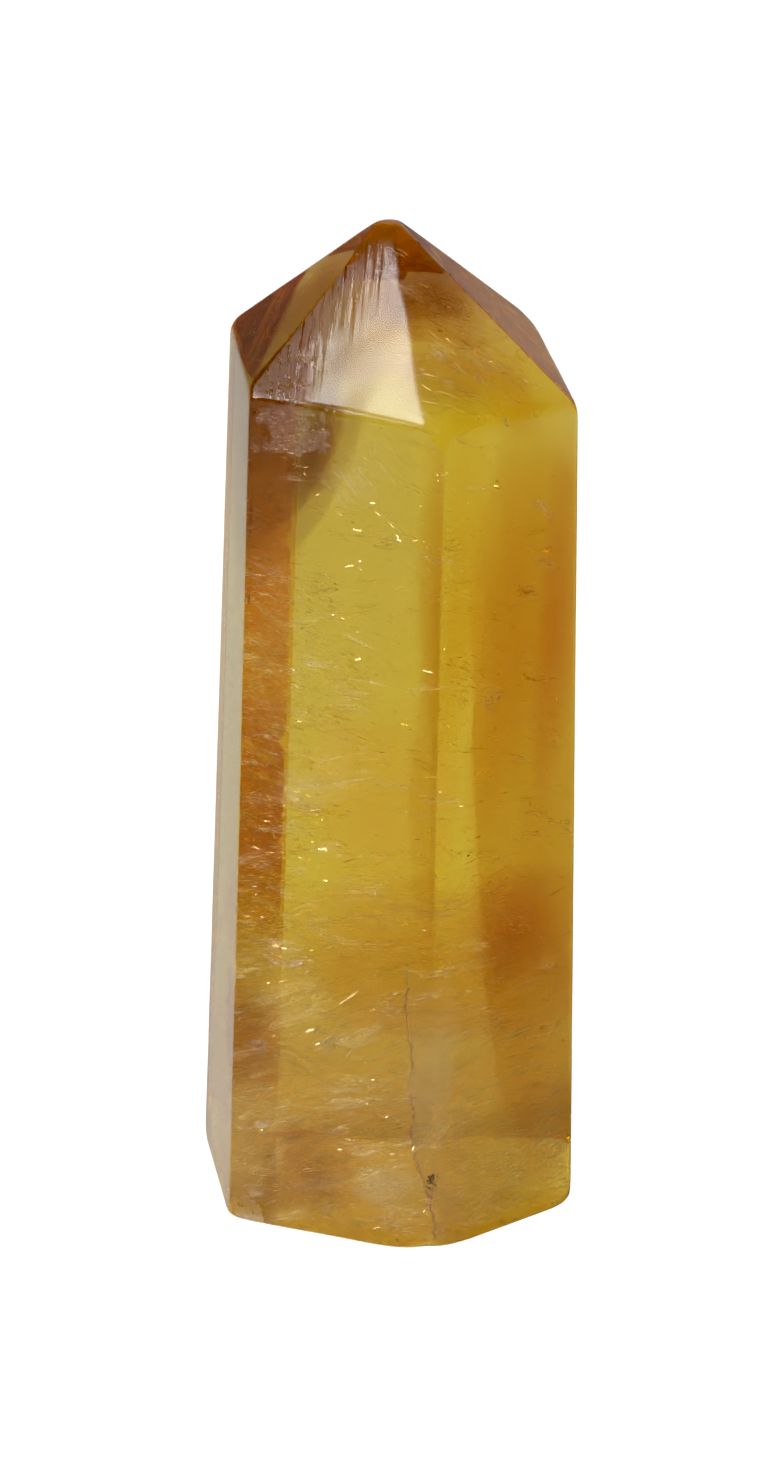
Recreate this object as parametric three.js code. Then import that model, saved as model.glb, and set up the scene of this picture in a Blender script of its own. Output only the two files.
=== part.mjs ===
// A polished six-sided fluorite point: a tapered prism that stands on a flat sawn base and ends in a six-facet tip.
// Millimetres, +Z up. The origin is the middle of the base, on the surface the point stands on.
//
// The stone is one convex solid, so it is described the way it is cut: every flat is a plane lapped across the blank.
// Six prism faces, six tip facets, one base, a fine arris worn along every edge, and a worn flat on every corner.
import * as THREE from "three";
import { ConvexGeometry } from "three/addons/geometries/ConvexGeometry.js";
import { mergeVertices } from "three/addons/utils/BufferGeometryUtils.js";

// ---- Driving dimensions ------------------------------------------------------------------------------------------

const HEIGHT = 80.0; // from the base to the worn tip

// Prism faces, counterclockwise seen from above, starting with the left one.
// facing: the compass direction of the face in degrees, 0 along +X and 90 along +Y
// offset: its distance from the axis at the base
// taper: how much nearer the axis it gets for each millimetre of height
const PRISM_FACES = [
  { name: "left", facing: 188.7, offset: 13.62, taper: 0.0222 },
  { name: "front_left", facing: 248.95, offset: 13.56, taper: 0.0326 },
  { name: "front_right", facing: 310.02, offset: 14.4, taper: 0.0216 },
  { name: "right", facing: 12.82, offset: 13.05, taper: 0.0076 },
  { name: "back", facing: 77.2, offset: 13.5, taper: 0.0277 },
  { name: "back_left", facing: 134.5, offset: 13.92, taper: 0.0334 },
];

// The height at which each prism edge meets the tip. Entry i is the edge between face i and the next one.
const SHOULDERS = [68.75, 67.7, 66.98, 68.85, 68.6, 70.35];

// Where the six tip facets would meet if the tip weren't worn. It is a little off the axis.
const SHARP_TIP = new THREE.Vector3(-0.62, -0.16, 80.75);

const ARRIS_WIDTH = 0.26; // the flat worn along each edge
const BASE_ARRIS_WIDTH = 0.6; // the same round the base, which gets knocked more
const TIP_ARRIS_WIDTH = 0.3; // the same on the edges that run up to the tip

// How deep each worn corner is cut, measured from the sharp corner.
const SHOULDER_WEAR = [0.3, 0.34, 0.26, 0.62, 0.4, 0.28];
const BASE_WEAR = [0.42, 0.95, 1.25, 0.5, 0.55, 0.34];

// The chip knocked out of the base corner between the left and the front left face: how deep it goes, the compass
// direction that it faces, and how many degrees it leans downwards.
const CHIP = { corner: 0, depth: 0.95, facing: 222, downwards: 46 };

// ---- Planes --------------------------------------------------------------------------------------------------------

// A flat is { normal, reach }: the solid lies where normal . point <= reach.
const flat = (normal, reach) => ({ normal: normal.clone().normalize(), reach });

function flatThrough(normal, point) {
  const n = normal.clone().normalize();
  return { normal: n, reach: n.dot(point) };
}

// The point that three flats share, or null where they don't meet in one point.
function meet(a, b, c) {
  const bc = new THREE.Vector3().crossVectors(b.normal, c.normal);
  const det = a.normal.dot(bc);
  if (Math.abs(det) < 1e-7) return null;
  const ca = new THREE.Vector3().crossVectors(c.normal, a.normal);
  const ab = new THREE.Vector3().crossVectors(a.normal, b.normal);
  return bc
    .multiplyScalar(a.reach)
    .addScaledVector(ca, b.reach)
    .addScaledVector(ab, c.reach)
    .divideScalar(det);
}

const prism = PRISM_FACES.map(({ facing, offset, taper }) => {
  const turn = THREE.MathUtils.degToRad(facing);
  const lean = Math.hypot(1, taper);
  return {
    normal: new THREE.Vector3(Math.cos(turn), Math.sin(turn), taper).divideScalar(lean),
    reach: offset / lean,
  };
});
const base = flat(new THREE.Vector3(0, 0, -1), 0);

const next = (i) => (i + 1) % prism.length;
const previous = (i) => (i + prism.length - 1) % prism.length;

// The sharp corners: where each prism edge meets the base, and where it meets the tip.
const feet = prism.map((face, i) => meet(face, prism[next(i)], base));
const shoulders = prism.map((face, i) =>
  meet(face, prism[next(i)], flat(new THREE.Vector3(0, 0, 1), SHOULDERS[i])),
);

// Tip facet i stands on prism face i, between its two shoulders.
const tip = prism.map((face, i) => {
  const a = shoulders[previous(i)];
  const b = shoulders[i];
  const normal = new THREE.Vector3()
    .crossVectors(b.clone().sub(a), SHARP_TIP.clone().sub(a))
    .normalize();
  return flatThrough(normal.dot(face.normal) < 0 ? normal.negate() : normal, a);
});

// The arris worn along the edge that two flats share at a point on it.
function arris(a, b, point, width) {
  const normal = a.normal.clone().add(b.normal).normalize();
  const half = a.normal.angleTo(b.normal) / 2;
  const depth = (width / 2) * Math.tan(half);
  return { normal, reach: normal.dot(point) - depth };
}

// The worn flat on a corner, square to the mean direction of the flats that meet there.
function worn(flats, point, depth, towards = null) {
  const normal = new THREE.Vector3();
  if (towards) normal.set(...towards);
  else for (const f of flats) normal.add(f.normal);
  normal.normalize();
  return { normal, reach: normal.dot(point) - depth };
}

const cuts = [base, ...prism, ...tip];
prism.forEach((face, i) => {
  const j = next(i);
  cuts.push(
    arris(face, prism[j], shoulders[i], ARRIS_WIDTH),
    arris(face, tip[i], shoulders[i], ARRIS_WIDTH),
    arris(tip[i], tip[j], shoulders[i], TIP_ARRIS_WIDTH),
    arris(face, base, feet[i], BASE_ARRIS_WIDTH),
    worn([face, prism[j], tip[i], tip[j]], shoulders[i], SHOULDER_WEAR[i]),
    worn([face, prism[j], base], feet[i], BASE_WEAR[i]),
  );
});

// The tip is worn round: a small flat on top, and a lower ring of flats that eases into the facets.
cuts.push(flat(new THREE.Vector3(0, 0, 1), HEIGHT));
tip.forEach((facet) => {
  const eased = facet.normal.clone().add(new THREE.Vector3(0, 0, 0.9)).normalize();
  cuts.push({ normal: eased, reach: eased.dot(SHARP_TIP) - 0.3 });
});

const chipTurn = THREE.MathUtils.degToRad(CHIP.facing);
const chipDown = THREE.MathUtils.degToRad(CHIP.downwards);
cuts.push(
  worn([], feet[CHIP.corner], CHIP.depth, [
    Math.cos(chipTurn) * Math.cos(chipDown),
    Math.sin(chipTurn) * Math.cos(chipDown),
    -Math.sin(chipDown),
  ]),
);

// ---- Solid ---------------------------------------------------------------------------------------------------------

// Every corner of the solid is a point where three flats meet and which no other flat cuts away.
function cornersOf(flats) {
  const found = [];
  for (let i = 0; i < flats.length; i++)
    for (let j = i + 1; j < flats.length; j++)
      for (let k = j + 1; k < flats.length; k++) {
        const p = meet(flats[i], flats[j], flats[k]);
        if (!p || !flats.every((f) => f.normal.dot(p) <= f.reach + 1e-6)) continue;
        if (!found.some((q) => q.distanceToSquared(p) < 1e-6)) found.push(p);
      }
  return found;
}

const corners = cornersOf(cuts);
const reach = new THREE.Box3().setFromPoints(corners);
const middle = reach.getCenter(new THREE.Vector3());
corners.forEach((p) => p.sub(new THREE.Vector3(middle.x, middle.y, reach.min.z)));

const hull = new ConvexGeometry(corners);
hull.deleteAttribute("normal");
hull.deleteAttribute("uv");
const stone = mergeVertices(hull, 1e-4);
stone.computeVertexNormals();

// Golden fluorite, polished: clear to hazy, with a glassy lustre.
const fluorite = new THREE.MeshStandardMaterial({
  color: new THREE.Color().setRGB(0.79, 0.55, 0.13, THREE.SRGBColorSpace),
  roughness: 0.08,
  metalness: 0.0,
});

const crystal = new THREE.Mesh(stone, fluorite);
crystal.name = "fluorite_point";

const group = new THREE.Group();
group.name = "fluorite_point_on_its_base";
group.add(crystal);

export default group;
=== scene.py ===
import math

import bmesh
import bpy
import numpy as np
from mathutils import Matrix, Vector
from mathutils.kdtree import KDTree


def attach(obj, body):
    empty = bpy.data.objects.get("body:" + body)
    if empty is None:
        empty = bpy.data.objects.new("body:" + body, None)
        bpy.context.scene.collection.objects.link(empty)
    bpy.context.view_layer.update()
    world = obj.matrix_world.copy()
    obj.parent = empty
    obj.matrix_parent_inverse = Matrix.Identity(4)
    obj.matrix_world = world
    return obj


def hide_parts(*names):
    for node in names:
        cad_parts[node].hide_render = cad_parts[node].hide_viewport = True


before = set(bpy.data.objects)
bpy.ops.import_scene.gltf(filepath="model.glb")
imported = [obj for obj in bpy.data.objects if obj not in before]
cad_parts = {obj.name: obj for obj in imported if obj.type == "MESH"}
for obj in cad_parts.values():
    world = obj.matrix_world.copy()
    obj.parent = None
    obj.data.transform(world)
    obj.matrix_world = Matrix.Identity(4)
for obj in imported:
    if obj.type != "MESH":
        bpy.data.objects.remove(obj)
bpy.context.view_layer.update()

MM = 0.001
scene = bpy.context.scene

# ---------------------------------------------------------------- the camera
# Looks down on the point from a little above, from about 0.6 m, rolled by under a degree.
ELEVATION, ROLL = math.radians(22.787), math.radians(0.7232)
SHIFT = np.array([0.1153636624, -0.4581133293, 0.0])    # the drawing frame to the CAD frame, whose origin is the middle of the base
TARGET = np.array([-0.0991, 0.0, 37.33]) - SHIFT
DISTANCE, FOCAL_PX = 606.3, 7747.0
FRAME_W, FRAME_H = 778.0, 1473.0

back = np.array([0.0, -math.cos(ELEVATION), math.sin(ELEVATION)])
side = np.array([1.0, 0.0, 0.0])
upward = np.cross(back, side)
cam_right = math.cos(ROLL) * side + math.sin(ROLL) * upward
cam_up = -math.sin(ROLL) * side + math.cos(ROLL) * upward
eye = TARGET + back * DISTANCE

cam_data = bpy.data.cameras.new("camera")
cam_data.sensor_fit = "AUTO"
cam_data.sensor_width = 36.0
cam_data.lens = 36.0 * FOCAL_PX / FRAME_H
cam_data.clip_start, cam_data.clip_end = 0.01, 50.0
camera = bpy.data.objects.new("camera", cam_data)
scene.collection.objects.link(camera)
camera.matrix_world = Matrix(
    [[cam_right[i], cam_up[i], back[i], eye[i] * MM] for i in range(3)] + [[0, 0, 0, 1]]
)
scene.camera = camera

# ------------------------------------------------- the crystal's flats, in mm
PRISM = [(188.7, 13.62, 0.0222), (248.95, 13.56, 0.0326), (310.02, 14.40, 0.0216),
         (12.82, 13.05, 0.0076), (77.2, 13.50, 0.0277), (134.5, 13.92, 0.0334)]
SHOULDER_Z = [68.75, 67.7, 66.98, 68.85, 68.6, 70.35]
TIP = np.array([-0.62, -0.16, 80.75])
SHOULDER_WEAR = [0.3, 0.34, 0.26, 0.62, 0.4, 0.28]
FOOT_WEAR = [0.15, 0.30, 0.12, 0.2, 0.2, 0.15]


def unit(v):
    v = np.asarray(v, float)
    return v / np.linalg.norm(v)


def prism_plane(i):
    t, offset, taper = PRISM[i % 6]
    t = math.radians(t)
    k = math.hypot(1, taper)
    return np.array([math.cos(t), math.sin(t), taper]) / k, offset / k


def corner(i, z):
    """Where the arris between prism flats i and i+1 reaches height z."""
    a, b = prism_plane(i), prism_plane(i + 1)
    return np.linalg.solve(np.array([a[0], b[0], (0, 0, 1.0)]), np.array([a[1], b[1], z]))


SHOULDERS = np.array([corner(i, SHOULDER_Z[i]) for i in range(6)]) - SHIFT
FEET = np.array([corner(i, 0.0) for i in range(6)]) - SHIFT
TIP = TIP - SHIFT
PLANES = [(n, d - float(n @ SHIFT)) for n, d in map(prism_plane, range(6))]
for i in range(6):
    n = unit(np.cross(SHOULDERS[i] - SHOULDERS[i - 1], TIP - SHOULDERS[i - 1]))
    n = n if n[2] > 0 else -n
    PLANES.append((n, float(n @ TIP)))
PLANES.append((np.array([0, 0, -1.0]), 0.0))
NORMALS = np.array([p[0] for p in PLANES])      # 0-5 prism flats, 6-11 tip facets, 12 the sawn base
REACH = np.array([p[1] for p in PLANES])
FRONT_TIP = 7                                   # the tip facet that mirrors the softbox

# worn corners: small cuts across each foot and shoulder
WORN = []
for i in range(6):
    j = (i + 1) % 6
    n = unit(NORMALS[i] + NORMALS[j] + NORMALS[12])
    WORN.append((n, float(n @ FEET[i]) - FOOT_WEAR[i]))
    n = unit(NORMALS[i] + NORMALS[j] + NORMALS[6 + i] + NORMALS[6 + j])
    WORN.append((n, float(n @ SHOULDERS[i]) - SHOULDER_WEAR[i]))
# each arris of the tip and the base is rubbed a little flat
for i in range(6):
    n = unit(NORMALS[i] + NORMALS[12])
    WORN.append((n, float(n @ FEET[i]) - 0.06))
    n = unit(NORMALS[i] + NORMALS[6 + i])
    WORN.append((n, float(n @ SHOULDERS[i]) - 0.045))
# the front tip facet was rolled over on the lap along its left arris
def on_flat(u, v, i):
    """The point of flat i that shows at frame position (u, v)."""
    ray = unit(-back * FOCAL_PX + cam_right * (u - FRAME_W / 2) - cam_up * (v - FRAME_H / 2))
    return eye + ray * float((REACH[i] - eye @ NORMALS[i]) / (ray @ NORMALS[i]))


ridge = unit(TIP - SHOULDERS[0])
inward = unit(np.cross(ridge, NORMALS[FRONT_TIP]))
if inward @ (SHOULDERS[1] - SHOULDERS[0]) < 0:
    inward = -inward
for top, low, tilt in (((384, 240), (312, 400), 0.5), ((378, 240), (285, 399), 1.8), ((372, 240), (266, 398), 4.5), ((369.5, 240), (257, 400), 10.0)):
    t = math.radians(tilt)
    high, low = on_flat(*top, FRONT_TIP), on_flat(*low, FRONT_TIP)
    across = unit(np.cross(NORMALS[FRONT_TIP], high - low))
    across = across if across @ inward > 0 else -across
    n = math.cos(t) * NORMALS[FRONT_TIP] - math.sin(t) * across
    WORN.append((n, float(n @ low)))
# its right arris is worn to a bevel that widens from the tip down to the shoulder
for top, low, tilt in (((396.0, 245), (426.5, 419), 9.0), ((397.0, 245), (431.0, 425), 17.0)):
    t = math.radians(tilt)
    high, low = on_flat(*top, FRONT_TIP), on_flat(*low, FRONT_TIP)
    across = unit(np.cross(NORMALS[FRONT_TIP], high - low))
    across = across if across @ inward < 0 else -across
    across = across if across @ (SHOULDERS[1] - SHOULDERS[0]) < 0 else -across
    n = math.cos(t) * NORMALS[FRONT_TIP] - math.sin(t) * across
    WORN.append((n, float(n @ low)))
# the apex is rubbed down a little
WORN.append((np.array([0, 0, 1.0]), 79.97))
WORN.append((unit(NORMALS[7] + [0, 0, 0.45]), float(unit(NORMALS[7] + [0, 0, 0.45]) @ on_flat(387, 226.5, 7))))
n = unit(NORMALS[1] + 0.5 * NORMALS[2] + 0.9 * NORMALS[7] + 0.5 * NORMALS[8])
WORN.append((n, float(n @ SHOULDERS[1]) - 0.52))
ALL_N = np.array(list(NORMALS) + [w[0] for w in WORN])
ALL_D = np.array(list(REACH) + [w[1] for w in WORN])


# where the softbox goes: the front tip facet mirrors it to the camera, and its left edge falls where that
# facet starts to roll over
FACET_MID = (SHOULDERS[0] + SHOULDERS[1] + TIP) / 3
_v, _n = unit(eye - FACET_MID), NORMALS[FRONT_TIP]
KEY_DIR = unit(2 * (_n @ _v) * _n - _v)
KEY_LEFT = unit(-(inward @ _v) * _n - (_n @ _v) * inward)
KEY_DIST, KEY_SIZE, KEY_RADIANCE = 1200.0, 0.17, 15.0
KEY_EDGE = math.radians(1.6)
SIDE_DIST, SIDE_SIZE, SIDE_RADIANCE = 1200.0, 0.66, 15.7
SIDE_DIR = unit([-math.cos(math.radians(27)) * math.cos(math.radians(31)), -math.sin(math.radians(27)) * math.cos(math.radians(31)), math.sin(math.radians(31))])
KEY_SPOT = FACET_MID + KEY_DIR * KEY_DIST - KEY_LEFT * (KEY_SIZE * 500 - KEY_DIST * math.tan(KEY_EDGE))


def hash01(i, j, k, seed):
    h = (i * 374761393 + j * 668265263 + k * 1442695041 + seed * 1274126177) & 0xFFFFFFFF
    h = ((h ^ (h >> 13)) * 1274126177) & 0xFFFFFFFF
    h = ((h ^ (h >> 16)) * 668265263) & 0xFFFFFFFF
    return ((h ^ (h >> 15)) & 0xFFFFFF) / 16777215.0


def noise(p, seed, size):
    """Smooth repeatable noise in -1..1 at points p (n,3) in mm; size may differ along each axis."""
    q = np.asarray(p) / np.asarray(size, float) + seed * 17.31
    i = np.floor(q).astype(np.int64)
    f = q - i
    f = f * f * (3 - 2 * f)
    out = np.zeros(len(q))
    for dx in (0, 1):
        for dy in (0, 1):
            for dz in (0, 1):
                w = ((f[:, 0] if dx else 1 - f[:, 0]) * (f[:, 1] if dy else 1 - f[:, 1])
                     * (f[:, 2] if dz else 1 - f[:, 2]))
                out += w * (2 * hash01(i[:, 0] + dx, i[:, 1] + dy, i[:, 2] + dz, seed) - 1)
    return out


# the conchoidal chip out of the front-left foot
CHIP_AXIS = np.array([math.cos(math.radians(222)) * math.cos(math.radians(50)),
                      math.sin(math.radians(222)) * math.cos(math.radians(50)),
                      -math.sin(math.radians(50))])
CHIP_CENTRE = FEET[0] + 3.74 * CHIP_AXIS + np.array([0.3, -0.35, 0.0])
CHIP_RADIUS = 4.05
# thin spalls: a place on the frame, the flat, how far the dent reaches, how deep it goes
SPALLS = []
for u, v, i, reach, deep in ((247, 1211, 1, 1.25, 0.13), (255, 1219, 1, 0.7, 0.10), (236, 1204, 1, 0.6, 0.08)):
    r = (reach ** 2 + deep ** 2) / (2 * deep)
    SPALLS.append((on_flat(u, v, i) + NORMALS[i] * (r - deep), r))
# nicks knocked out of the arrises: place, radius
NICKS = []
_n = np.random.default_rng(11)
for a, b, count in ([(FEET[i], SHOULDERS[i], 5) for i in range(6)] + [(SHOULDERS[i], TIP, 3) for i in range(6)]
                    + [(FEET[i - 1], FEET[i], 4) for i in range(6)] + [(SHOULDERS[i - 1], SHOULDERS[i], 3) for i in range(6)]):
    for _ in range(count):
        t, r = _n.uniform(0.06, 0.94), _n.uniform(0.10, 0.26)
        c = a + t * (b - a)
        out = unit(c - np.array([0, 0, 40.0 if c[2] < 60 else 66.0]) * [0, 0, 1])
        NICKS.append((c + out * r * 0.35 + _n.normal(0, 0.05, 3), r))
NICK_C = np.array([c for c, r in NICKS])
NICK_R = np.array([r for c, r in NICKS])


class Field:
    """Signed distance, in mm, to the hand-lapped solid, near a given set of points."""

    def __init__(self, p):
        self.chip = np.nonzero(((p - CHIP_CENTRE) ** 2).sum(1) < (CHIP_RADIUS + 1.2) ** 2)[0]
        self.nicks = []
        for c, r in NICKS:
            near = np.nonzero(np.abs(p - c).max(axis=1) < r * 2 + 0.3)[0]
            if len(near):
                self.nicks.append((near, c, r))

    def __call__(self, p):
        d = p @ ALL_N.T - ALL_D
        m = d.max(axis=1)
        k = 0.062 + 0.02 * noise(p, 8, 2.7) + 0.12 * np.clip(1 - np.sqrt(((p - TIP) ** 2).sum(1)) / 3.2, 0, 1) ** 2
        # the feet are rubbed rounder, and so is the hidden arris at the back
        for i, wide, far in ((0, 0.12, 2.5), (1, 0.50, 4.5), (2, 0.22, 2.6), (3, 0.15, 2.5), (4, 0.15, 2.5), (5, 0.12, 2.5)):
            k = k + wide * np.clip(1 - np.sqrt(((p - FEET[i]) ** 2).sum(1)) / far, 0, 1) ** 2
        for i, wide in ((4, 0.50), (3, 0.12)):
            away = np.cross(p - FEET[i], unit(SHOULDERS[i] - FEET[i]))
            k = k + wide * np.clip(1 - np.sqrt((away ** 2).sum(1)) / 4.0, 0, 1) ** 2
        f = m + k * np.log(np.exp(np.maximum(d - m[:, None], -1.5) / k[:, None]).sum(axis=1))
        # chip with its ripples
        i = self.chip
        if len(i):
            q = p[i]
            r = np.sqrt(((q - CHIP_CENTRE) ** 2).sum(1))
            u = np.sqrt(((q - FEET[0]) ** 2).sum(1))
            ripple = 0.022 * np.sin(u * 8.0 + 1.5 * noise(q, 21, 0.9)) + 0.09 * noise(q, 22, 0.45)
            f[i] = 0.05 * np.logaddexp(f[i] / 0.05, (CHIP_RADIUS - r + ripple) / 0.05)
            for c, rad in SPALLS:
                f[i] = np.maximum(f[i], rad - np.sqrt(((q - c) ** 2).sum(1)) + 0.012 * np.sin(u * 9.0 + 2 * noise(q, 24, 0.8)) + 0.02 * noise(q, 25, 0.4))
        for i, c, rad in self.nicks:
            r = np.sqrt(((p[i] - c) ** 2).sum(1))
            f[i] = np.maximum(f[i], rad - r + 0.04 * noise(p[i], 31, 0.2))
        return f + 0.010 * noise(p, 3, 9.0) + 0.005 * noise(p, 5, 3.1) + 0.012

    def gradient(self, p, h=0.015):
        g = np.zeros_like(p)
        for e in np.array([(1, -1, -1), (-1, -1, 1), (-1, 1, -1), (1, 1, 1.0)]):
            g += self(p + e * h)[:, None] * e
        return g / (4 * h)


def attribute(mesh, name, values):
    mesh.attributes.new(name, "FLOAT", "POINT").data.foreach_set("value", np.asarray(values, np.float32))


def build_crystal():
    bm = bmesh.new()
    foot = [bm.verts.new(v) for v in FEET]
    shoulder = [bm.verts.new(v) for v in SHOULDERS]
    tip = bm.verts.new(TIP)
    bm.faces.new(foot[::-1])
    for i in range(6):
        bm.faces.new([foot[i - 1], foot[i], shoulder[i], shoulder[i - 1]])
        bm.faces.new([shoulder[i - 1], shoulder[i], tip])
    bmesh.ops.recalc_face_normals(bm, faces=bm.faces)
    bmesh.ops.triangulate(bm, faces=bm.faces)

    def wanted(mid):
        d = np.partition(-(mid @ NORMALS.T - REACH), 1, axis=1)
        h = np.clip(0.22 + (d[:, 1] - 0.4) * 0.6, 0.22, 1.6)
        h = np.minimum(h, np.clip(0.14 + (np.linalg.norm(mid - TIP, axis=1) - 2.4) * 0.3, 0.14, 9))
        h = np.minimum(h, np.clip(0.10 + (np.linalg.norm(mid - FEET[0], axis=1) - 2.3) * 0.3, 0.10, 9))
        return np.minimum(h, np.clip(0.08 + np.maximum(nick_tree(mid), 0) * 0.5, 0.08, 9))

    tree = KDTree(len(NICKS))
    for i, (c, r) in enumerate(NICKS):
        tree.insert(c, i)
    tree.balance()

    def nick_tree(mid):
        out = np.full(len(mid), 9.0)
        edge = np.nonzero(np.partition(-(mid @ NORMALS.T - REACH), 1, axis=1)[:, 1] < 1.0)[0]
        for i in edge:
            c, k, dist = tree.find(mid[i])
            out[i] = dist - NICKS[k][1]
        return out

    for _ in range(16):
        n = len(bm.edges)
        pos = np.array([v.co[:] for v in bm.verts])
        bm.verts.index_update()
        pair = np.array([(e.verts[0].index, e.verts[1].index) for e in bm.edges])
        a, b = pos[pair[:, 0]], pos[pair[:, 1]]
        length = np.linalg.norm(a - b, axis=1)
        maybe = np.nonzero(length > 1.5 * 0.08)[0]
        long = maybe[length[maybe] > 1.5 * wanted((a[maybe] + b[maybe]) / 2)]
        if not len(long):
            break
        bm.edges.ensure_lookup_table()
        bmesh.ops.subdivide_edges(bm, edges=[bm.edges[int(i)] for i in long], cuts=1, use_grid_fill=False)
        bmesh.ops.triangulate(bm, faces=[f for f in bm.faces if len(f.verts) > 3])
    co = np.array([v.co[:] for v in bm.verts])
    sharp = np.partition(-(co @ NORMALS.T - REACH), 1, axis=1)[:, 1]
    field = Field(co)
    for _ in range(4):
        g = field.gradient(co)
        co = co - g * (field(co) / np.maximum((g ** 2).sum(1), 0.3))[:, None]
    co[:, 2] = np.maximum(co[:, 2], 0.0)
    nrm = field.gradient(co)
    nrm /= np.linalg.norm(nrm, axis=1)[:, None]
    chip = np.clip(1.6 - (np.sqrt(((co - CHIP_CENTRE) ** 2).sum(1)) - CHIP_RADIUS) / 0.12, 0, 1)
    for c, rad in SPALLS:
        chip = np.maximum(chip, np.clip(1.3 - (np.sqrt(((co - c) ** 2).sum(1)) - rad) / 0.04, 0, 1) * (np.sqrt(((co - CHIP_CENTRE) ** 2).sum(1)) < CHIP_RADIUS + 2.0))
    nick = np.zeros(len(co))
    for c, r in NICKS:
        nick = np.maximum(nick, np.clip(1.3 - (np.sqrt(((co - c) ** 2).sum(1)) - r) / 0.05, 0, 1))
    for v, c in zip(bm.verts, co):
        v.co = c * MM
    mesh = bpy.data.meshes.new("crystal")
    bm.to_mesh(mesh)
    bm.free()
    attribute(mesh, "chip", np.maximum(chip, 0.9 * nick))
    attribute(mesh, "arris", np.clip(1 - sharp / 0.5, 0, 1))
    mesh.polygons.foreach_set("use_smooth", [True] * len(mesh.polygons))
    mesh.normals_split_custom_set_from_vertices([tuple(n) for n in nrm])
    obj = bpy.data.objects.new("crystal", mesh)
    scene.collection.objects.link(obj)
    return obj


# ------------------------------------------------------- places inside the stone
IOR = 1.434


def look(u, v, depth):
    """The point `depth` mm into the stone along the camera ray through frame position (u, v), bent at the
    surface. Works on arrays; returns the points, the bent directions and the room left behind each."""
    u, v, depth = np.broadcast_arrays(np.asarray(u, float), np.asarray(v, float), np.asarray(depth, float))
    u, v, depth = u.ravel(), v.ravel(), depth.ravel()
    ray = (-back * FOCAL_PX)[None] + cam_right[None] * (u - FRAME_W / 2)[:, None] - cam_up[None] * (v - FRAME_H / 2)[:, None]
    ray /= np.linalg.norm(ray, axis=1)[:, None]
    facing = ray @ NORMALS.T
    gap = REACH - eye @ NORMALS.T
    t = np.where(facing < -1e-6, gap / np.minimum(facing, -1e-6), -1e9)
    which = t.argmax(axis=1)
    start = eye + ray * t.max(axis=1)[:, None]
    n = NORMALS[which]
    c = -(ray * n).sum(1)
    eta = 1 / IOR
    bent = eta * ray + (eta * c - np.sqrt(1 - eta ** 2 * (1 - c ** 2)))[:, None] * n
    ahead = bent @ NORMALS.T
    room = np.where(ahead > 1e-6, (REACH - start @ NORMALS.T) / np.maximum(ahead, 1e-6), 1e9).min(axis=1)
    depth = np.minimum(depth, np.maximum(room - 0.4, 0.05))
    return start + bent * depth[:, None], bent, room


def keep_inside(p, margin):
    return Field(p)(p) < -margin


def make(name, verts, faces, material, smooth=True):
    mesh = bpy.data.meshes.new(name)
    verts = np.asarray(verts, np.float32) * MM
    faces = np.asarray(faces, np.int32)
    mesh.vertices.add(len(verts))
    mesh.vertices.foreach_set("co", verts.ravel())
    k = faces.shape[1]
    mesh.loops.add(len(faces) * k)
    mesh.loops.foreach_set("vertex_index", faces.ravel())
    mesh.polygons.add(len(faces))
    mesh.polygons.foreach_set("loop_start", np.arange(0, len(faces) * k, k, dtype=np.int32))
    mesh.polygons.foreach_set("use_smooth", [smooth] * len(faces))
    mesh.update(calc_edges=True)
    mesh.validate()
    mesh.materials.append(material)
    obj = bpy.data.objects.new(name, mesh)
    scene.collection.objects.link(obj)
    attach(obj, "root")
    return obj


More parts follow.
